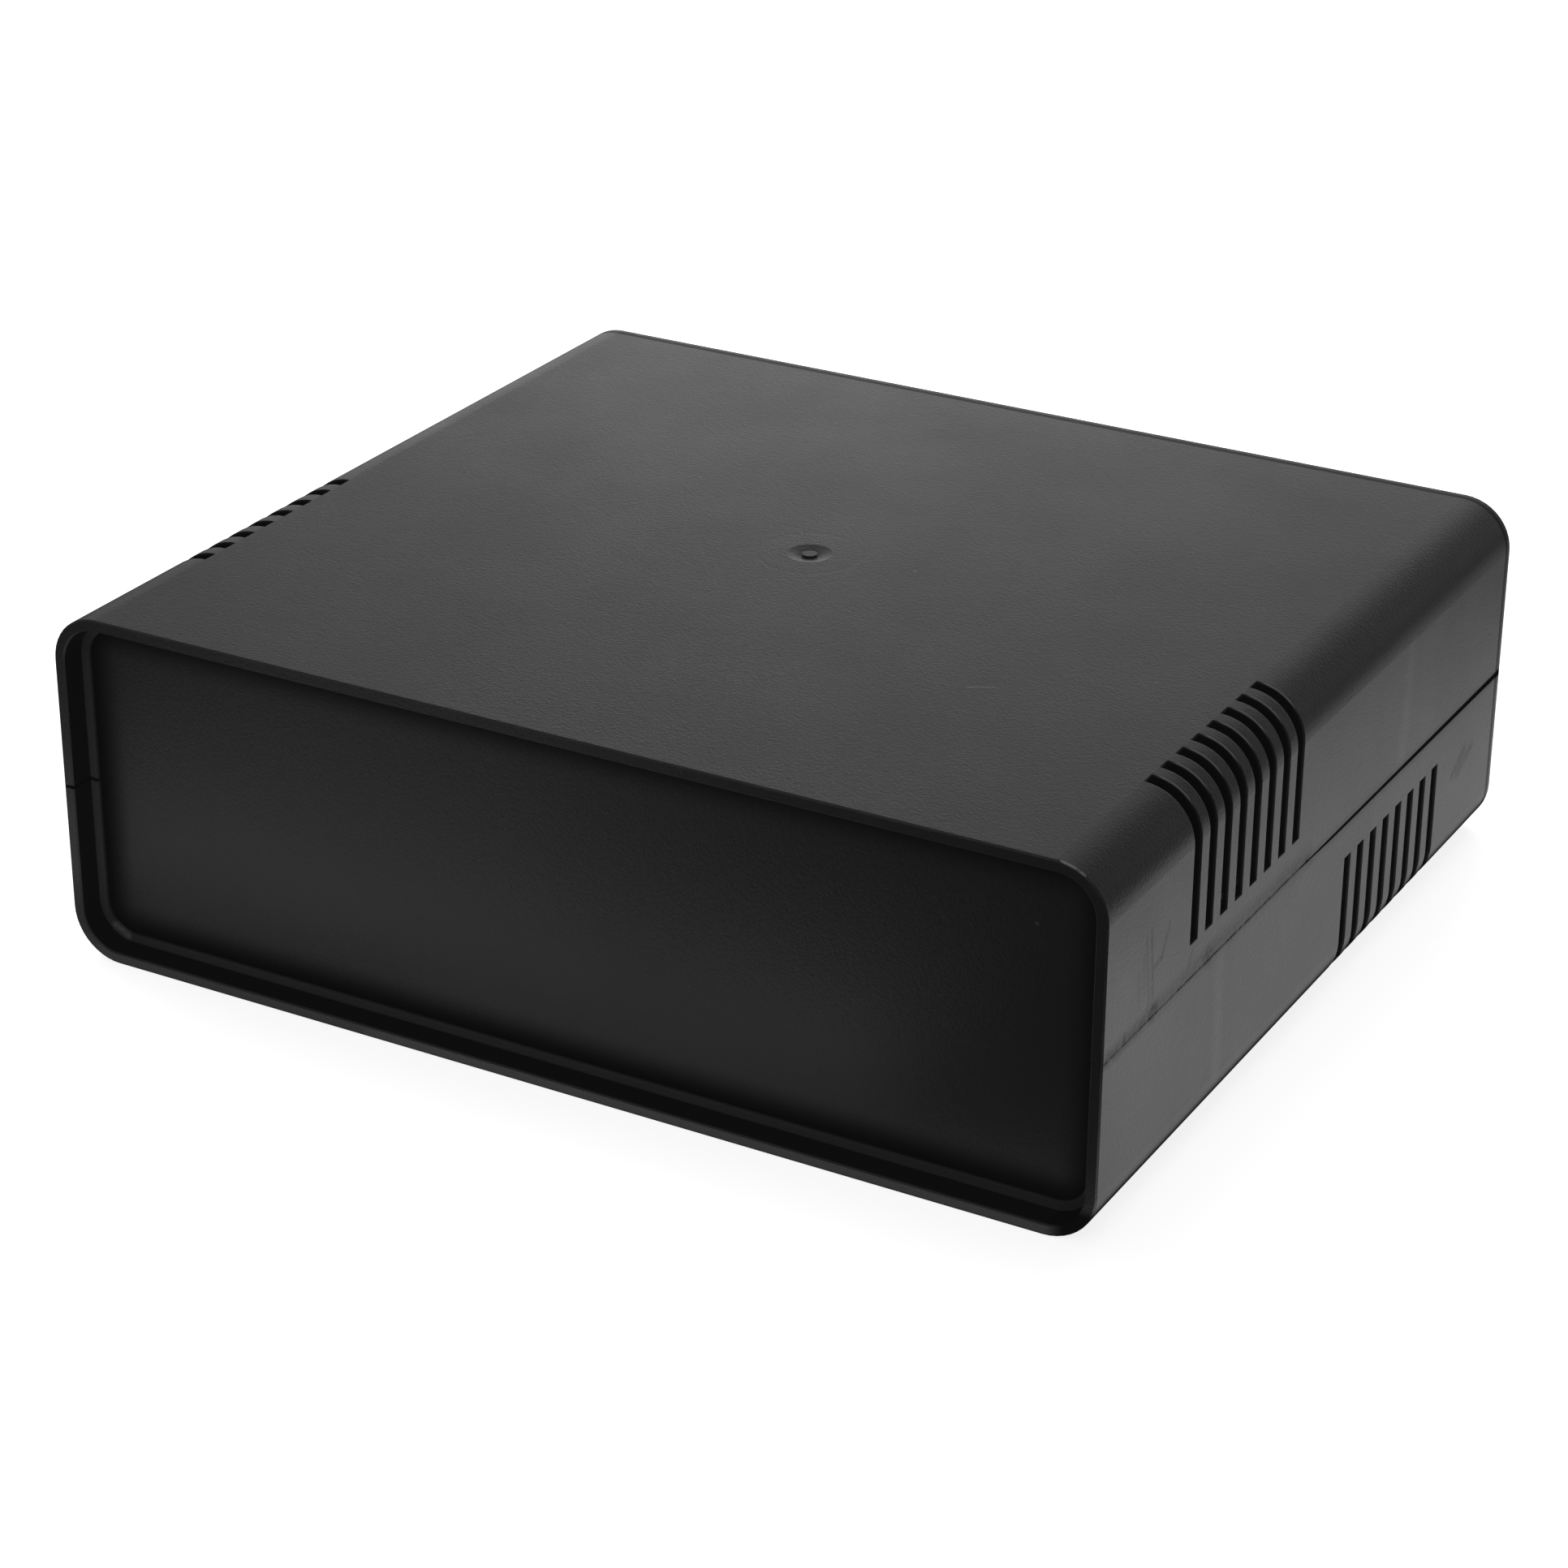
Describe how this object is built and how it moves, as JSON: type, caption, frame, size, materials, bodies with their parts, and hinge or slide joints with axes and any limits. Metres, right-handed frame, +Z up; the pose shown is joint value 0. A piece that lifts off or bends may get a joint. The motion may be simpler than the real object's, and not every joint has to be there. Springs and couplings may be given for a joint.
{
  "type": "instrument case",
  "caption": "Two-part moulded plastic instrument case with wrap-round side vents, recessed front and rear panels in grooves, and a hollow inside with posts for a circuit board.",
  "frame": {"origin": "under the middle of the closed case, on the surface that it stands on", "axes": "+X to the right across the front panel, -Y out of the front panel, +Z up"},
  "size_m": [0.206, 0.178, 0.068],
  "materials": {
    "shell_plastic": "black, fine spark-eroded matte texture",
    "panel_plastic": "black, fine matte texture",
    "screw_steel": "bright zinc plated"
  },
  "bodies": {
    "root": {"upper_shell": "shell_plastic", "lower_shell": "shell_plastic", "front_panel": "panel_plastic", "rear_panel": "panel_plastic", "screw_front_left": "screw_steel", "screw_front_right": "screw_steel", "screw_rear_left": "screw_steel", "screw_rear_right": "screw_steel"}
  },
  "joints": []
}
